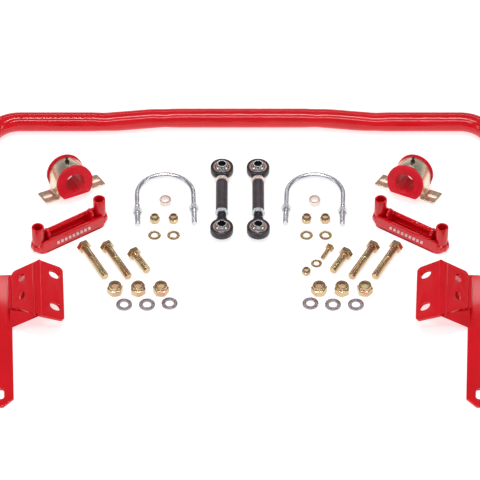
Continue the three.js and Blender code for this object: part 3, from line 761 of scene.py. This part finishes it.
def link_ball(node, body):
    """A chrome ball whose bore stands upright, with a shoulder above and below the sphere."""
    k = LINK
    half, start = k["width"] / 2, math.degrees(math.asin(9.3 / k["ball"]))
    profile = [(k["bore"] / 2 + 0.5, -half), (k["shoulder"] - 0.5, -half), (k["shoulder"], -half + 0.5),
               (k["shoulder"] + 0.1, -10.6)]
    profile += arc(0, 0, k["ball"], -start, start, 26)
    profile += [(k["shoulder"] + 0.1, 10.6), (k["shoulder"], half - 0.5), (k["shoulder"] - 0.5, half),
                (k["bore"] / 2 + 0.5, half), (k["bore"] / 2, half - 0.5), (k["bore"] / 2, -half + 0.5)]
    # The black sleeve just inside the ball's bore is painted shade: it darkens the bore where no light gets
    # in, and is no part of the link.
    r = k["bore"] / 2
    bore_shade_sleeve = [(r - 0.25, 0.6 - half), (r + 0.4, 0.6 - half), (r + 0.4, half - 0.6), (r - 0.25, half - 0.6)]
    piece(f"{node}_bore", Soup().add(*lathe(bore_shade_sleeve, 48)), node, BLACK_FITTING_AND_BORE_SHADE, body=body)
    return piece(f"{node}_fine", Soup().add(*lathe(profile, 64)), node, CHROME, body=body, sharp=24)


def rod_end(label, place):
    """A round head with a staked bronze race, a tapered neck and a threaded shank."""
    k, node = LINK, f"rod_end_{label}_{place}"
    low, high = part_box(node)
    flip = 0 if place == "front" else 180
    reach = (high.y - low.y) / MM - k["head"]
    half, race = k["thickness"] / 2, 14.2
    head = [(race, -half + 1.2), (race, -half + 0.5), (race + 0.7, -half), (k["head"] - 1.8, -half),
            (k["head"] - 0.5, -half + 0.7), (k["head"], -half + 2.2), (k["head"], half - 2.2),
            (k["head"] - 0.5, half - 0.7), (k["head"] - 1.8, half), (race + 0.7, half), (race, half - 0.5),
            (race, half - 1.2)]
    soup = Soup().add(*lathe(head, 72))
    neck_rows, columns, verts = 14, 36, []
    for i in range(neck_rows + 1):
        t = i / neck_rows
        y = 13.5 + (k["neck_reach"] - 13.5) * t
        wide = 12.5 + (k["neck"] - 12.5) * (t * t * (3 - 2 * t))
        tall = 6.4 + (k["neck"] - 0.9 - 6.4) * t
        verts += [(wide * math.cos(2 * math.pi * j / columns), y, tall * math.sin(2 * math.pi * j / columns))
                  for j in range(columns)]
    verts, faces = capped(neck_rows + 1, columns, verts)
    soup.add(verts, [f[::-1] for f in faces])
    soup.add(*screw(k["shank"], reach - 14, 1.27, 0, 32), shift(0, 14, 0) @ turn("X", -90))
    centre = (low + high) / 2
    centre.y = (low.y + k["head"] * MM) if place == "front" else (high.y - k["head"] * MM)
    where = set_at(centre) @ turn("Z", flip)
    obj = piece(f"{node}_fine", soup, node, BLACK_OXIDE, where, body=node, align=False)
    inner = k["ball"] + 0.12
    lip = half - 0.9
    angle = math.degrees(math.asin(lip / inner))
    liner = [(race + 0.05, -lip), (race + 0.05, lip)] + arc(0, 0, inner, angle, -angle, 18)
    piece(f"{node}_race", Soup().add(*lathe(liner, 64)), node, RACE_BRONZE,
          where, body=node, align=False)
    return obj


def link_tube(label):
    """A plain tube with eased ends and a shallow groove near its rear end."""
    node = f"link_tube_{label}"
    low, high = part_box(node)
    length, r = (high.y - low.y) / MM, (high.x - low.x) / 2 / MM
    bore = LINK["shank"] / 2 + GAP
    outer = [(bore + 0.8, 0), (r - 1.2, 0), (r, 1.2), (r, 5), (r - 0.35, 5.3), (r - 0.35, 6.3), (r, 6.6),
             (r, length - 1.2), (r - 1.2, length), (bore + 0.8, length), (bore, length - 0.8), (bore, 0.8)]
    return piece(f"{node}_fine", Soup().add(*lathe(outer, 64)), node, TUBE_BLACK,
                 turn("X", -90), body=node)


def end_link(label):
    link_tube(label)
    for place in ("rear", "front"):
        body = f"rod_end_{label}_{place}"
        rod_end(label, place)
        link_ball(f"link_ball_{label}_{place}", f"link_ball_{label}_{place}")
        finish = PINK_ZINC if place == "rear" else SILVER_ZINC
        node = f"jam_nut_{label}_{place}"
        size = dict(diameter=LINK["shank"], flats=0.75 * INCH)
        plain_nut(node, size, box_height(node, 1), finish, turn("X", -90), body=body)


# ------------------------------------------------------------------------- frame bracket


def bracket_wing(width, free_length, holes):
    corner = BRACKET["wing_corner"]
    outline = [(0, 0), (0, -BRACKET["ridge_length"])]
    outline += arc(width - corner, -free_length + corner, corner, -90, 0, 8)
    outline += arc(width - corner, -corner, corner, 0, 90, 8)
    return plate(outline, holes, BRACKET["plate"], 0.9)


def prism(face, back):
    """A closed solid between two faces of the same number of corners."""
    count = len(face)
    faces = [list(range(count)), [count + i for i in reversed(range(count))]]
    faces += [[i, i + count, (i + 1) % count + count, (i + 1) % count] for i in range(count)]
    return list(face) + list(back), faces


def frame_bracket(label, side):
    """A roof of two slotted wings on a long foot plate, with an upright web and a gusset."""
    b = BRACKET
    t, slope, ridge = b["plate"], b["slope"], b["ridge_length"]
    rise = math.tan(math.radians(slope))
    inner_slots = [slot_outline(*b["inner_slot"], b["inner_slot_x"], y) for y in b["inner_slot_y"]]
    outer_slots = [slot_outline(*b["outer_slot"][::-1], b["outer_slot_x"], y, "y") for y in b["outer_slot_y"]]
    inner = bracket_wing(b["inner"], b["inner_length"], inner_slots)
    outer = bracket_wing(b["outer"], b["outer_length"], outer_slots)
    tilt = turn("Y", slope) @ shift(0, 0, -t / 2)
    soup = Soup().add(*outer, tilt)
    soup.add(inner[0], [f[::-1] for f in inner[1]], Matrix.Diagonal((-1, 1, 1, 1)) @ tilt)
    crown = arc(0, -t, t, 60, 120, 10) + arc(0, -t, 0.6, 120, 60, 4)
    verts = [(x, y, z) for y in (-0.4, -ridge + 0.4) for x, z in crown]
    soup.add(*capped(2, len(crown), verts))
    low, wide, corner = -b["ridge_height"], b["foot_width"], b["foot_corner"]
    foot = [(0, b["foot_rear"]), (0, b["foot_front"] + corner), (corner, b["foot_front"])]
    foot += arc(wide - corner, b["foot_front"] + corner, corner, -90, 0, 8) + [(wide, b["foot_rear"])]
    slot_y = b["foot_front"] + b["foot_slot_inset"]
    margin = b["foot_slot_margin"]
    foot_slots = [slot_outline(*b["foot_slot"][::-1], x, slot_y, "y") for x in (margin, wide - margin)]
    on_foot = shift(b["foot_offset"], 0, low + t / 2)
    soup.add(*plate(foot, foot_slots, t, 0.9), on_foot)
    tab = [(-b["foot_tab"], b["foot_tab_front"]), (0, b["foot_tab_front"]), (0, b["foot_rear"]),
           (-b["foot_tab"], b["foot_rear"])]
    soup.add(*plate(tab, [], t, 0.9), on_foot)
    web_top = -rise * b["foot_offset"] - t / 2
    web_front = -b["outer_length"] + 6
    web = plate([(web_front, low + 0.5), (-6, low + 0.5), (-6, web_top), (web_front, web_top)], [], t, 0.7)
    soup.add(*web, shift(b["foot_offset"] + t / 2, 0, 0) @ turn("Z", 90) @ turn("X", 90))
    soup.add(*gusset(rise))
    seam = 9
    soup.add(*bead([(seam, -4, -seam * rise + 0.3), (seam, -ridge + 3, -seam * rise + 0.3)], 2.5, 5))
    soup.add(*bead([(b["foot_offset"], -6, low + t), (b["foot_offset"], web_front, low + t)], 1.8))
    return piece(f"frame_bracket_fine_{label}", soup, f"frame_bracket_{label}", RED_COAT,
                 turn("Z", b["turn"]), side)


def gusset(rise):
    """The flat plate under the outer wing's slanting front edge, from the ridge to the foot."""
    b = BRACKET
    under = b["plate"] / 2
    wing_x = b["foot_offset"] + b["plate"] / 2
    floor = -b["ridge_height"] + 1
    face = [Vector((1, -b["ridge_length"] + 1, -rise - under)),
            Vector((b["foot_offset"] + b["plate"], b["gusset_foot"], floor)),
            Vector((wing_x, -b["outer_length"] - 2, floor)),
            Vector((wing_x, -b["outer_length"] - 2, -wing_x * rise - under))]
    verts, faces = prism(face, [p + Vector((0, b["plate"], 0)) for p in face])
    split = [[f[0], f[1], f[3]] for f in faces[:1]] + [[f[1], f[2], f[3]] for f in faces[:1]]
    split += [[faces[1][0], faces[1][2], faces[1][3]], [faces[1][0], faces[1][1], faces[1][2]]]
    return verts, split + faces[2:]


# ------------------------------------------------------------------------------ assembly

BUSHING_ORIGIN = {}
sway_bar()
for label, side in SIDES:
    bushing(label, side)
    BUSHING_ORIGIN[label] = bushing_origin(label, side)
    strap(label, side)
    axle_mount(label, side)
    u_bolt(label, side)
    for place in ("outer", "inner"):
        node = f"u_bolt_nut_{label}_{place}"
        plain_nut(node, THREE_EIGHTHS, 8.3, SILVER_ZINC, turn("Z", U_BOLT["turn"]) @ turn("X", -90), side,
                  body=node)
    end_link(label)
    frame_bracket(label, side)
    ring_piece(f"spacer_{label}", 13, PINK_ZINC, 0.8)
    for i, heading in ((1, 12 * side), (2, -8 * side)):
        locknut(f"u_bolt_locknut_{label}_{i}", THREE_EIGHTHS, heading)
        ring_piece(f"u_bolt_washer_{label}_{i}", 10.3, GOLD_ZINC)
    bolt(f"short_bolt_{label}", HALF, SHORT_BOLT, side, -31, 2)
    for i in (1, 2):
        bolt(f"long_bolt_{label}_{i}", HALF, LONG_BOLT, side, -28.8, 0.36 * LONG_BOLT)
    for i, heading in ((1, 5 * side), (2, 24 * side), (3, -14 * side)):
        locknut(f"locknut_{label}_{i}", HALF_NUT, heading)
        ring_piece(f"flat_washer_{label}_{i}", 13.5, GREY_ZINC)
bolt("small_bolt", FIVE_SIXTEENTHS, SMALL_BOLT, 1, -29, 1.5)
ring_piece("small_washer", 8.7, GOLD_ZINC)
locknut("small_locknut", FIVE_SIXTEENTHS, 18)


# ------------------------------------------------------------------ floor, light and camera


def floor():
    mesh = bpy.data.meshes.new("floor")
    reach = 60
    mesh.from_pydata([(-reach, -reach, 0), (reach, -reach, 0), (reach, reach, 0), (-reach, reach, 0)], [],
                     [(0, 1, 2, 3)])
    material, tree, shader = new_material("floor_paper", (0.62, 0.62, 0.62), 0.9)
    bump(tree, shader, noise_factor(tree, 40, 2), 0.02)
    shader.inputs["Specular IOR Level"].default_value = 0.1
    shader.inputs["Emission Color"].default_value = (1, 1, 1, 1)
    shader.inputs["Emission Strength"].default_value = 0.66
    mesh.materials.append(material)
    obj = bpy.data.objects.new("floor", mesh)
    bpy.context.collection.objects.link(obj)
    obj.location.z = -0.0003


def softbox(name, spot, target, width, height, power):
    light = bpy.data.lights.new(name, "AREA")
    light.shape, light.size, light.size_y, light.energy = "RECTANGLE", width, height, power
    obj = bpy.data.objects.new(name, light)
    obj.location = spot
    obj.rotation_euler = (Vector(target) - Vector(spot)).to_track_quat("-Z", "Y").to_euler()
    bpy.context.collection.objects.link(obj)


def studio():
    world = bpy.data.worlds.new("studio")
    bpy.context.scene.world = world
    world.use_nodes = True
    tree = world.node_tree
    back = tree.nodes["Background"]
    place = tree.nodes.new("ShaderNodeTexCoord")
    split = tree.nodes.new("ShaderNodeSeparateXYZ")
    tree.links.new(place.outputs["Generated"], split.inputs["Vector"])
    shade = ramp(tree, split.outputs["Z"], [(0.0, (0.60, 0.60, 0.61)), (0.2, (0.30, 0.30, 0.31)),
                                            (0.6, (0.16, 0.16, 0.17)), (1.0, (0.30, 0.30, 0.31))])
    tree.links.new(shade, back.inputs["Color"])
    back.inputs["Strength"].default_value = 1.0
    softbox("top", (0, 0.15, 2.6), (0, 0, 0), 1.9, 0.22, 26)
    softbox("front_strip", (-0.2, -1.15, 2.2), (0, 0.05, 0), 2.2, 0.28, 17)
    softbox("rear_strip", (0.1, 2.1, 1.6), (0, 0, 0), 2.2, 0.22, 5)
    softbox("left_card", (-2.2, -0.3, 1.3), (0, 0, 0), 0.5, 1.4, 6)
    softbox("right_card", (2.2, -0.3, 1.3), (0, 0, 0), 0.5, 1.4, 6)


def camera():
    """A long lens at the product shot's angle, aimed just ahead of the links' front balls."""
    data = bpy.data.cameras.new("camera")
    data.lens, data.sensor_width, data.clip_end = 300, 36, 300
    obj = bpy.data.objects.new("camera", data)
    bpy.context.collection.objects.link(obj)
    bpy.context.scene.camera = obj
    target = Vector((0, middle("link_ball_right_front").y - 0.010, 0))
    elevation, frame_width = math.radians(45), 0.768
    distance = frame_width * data.lens / data.sensor_width
    obj.location = target + Vector((0, -math.cos(elevation), math.sin(elevation))) * distance
    obj.rotation_euler = (target - obj.location).to_track_quat("-Z", "Y").to_euler()


floor()
studio()
camera()
bpy.context.scene.view_settings.view_transform = "Standard"
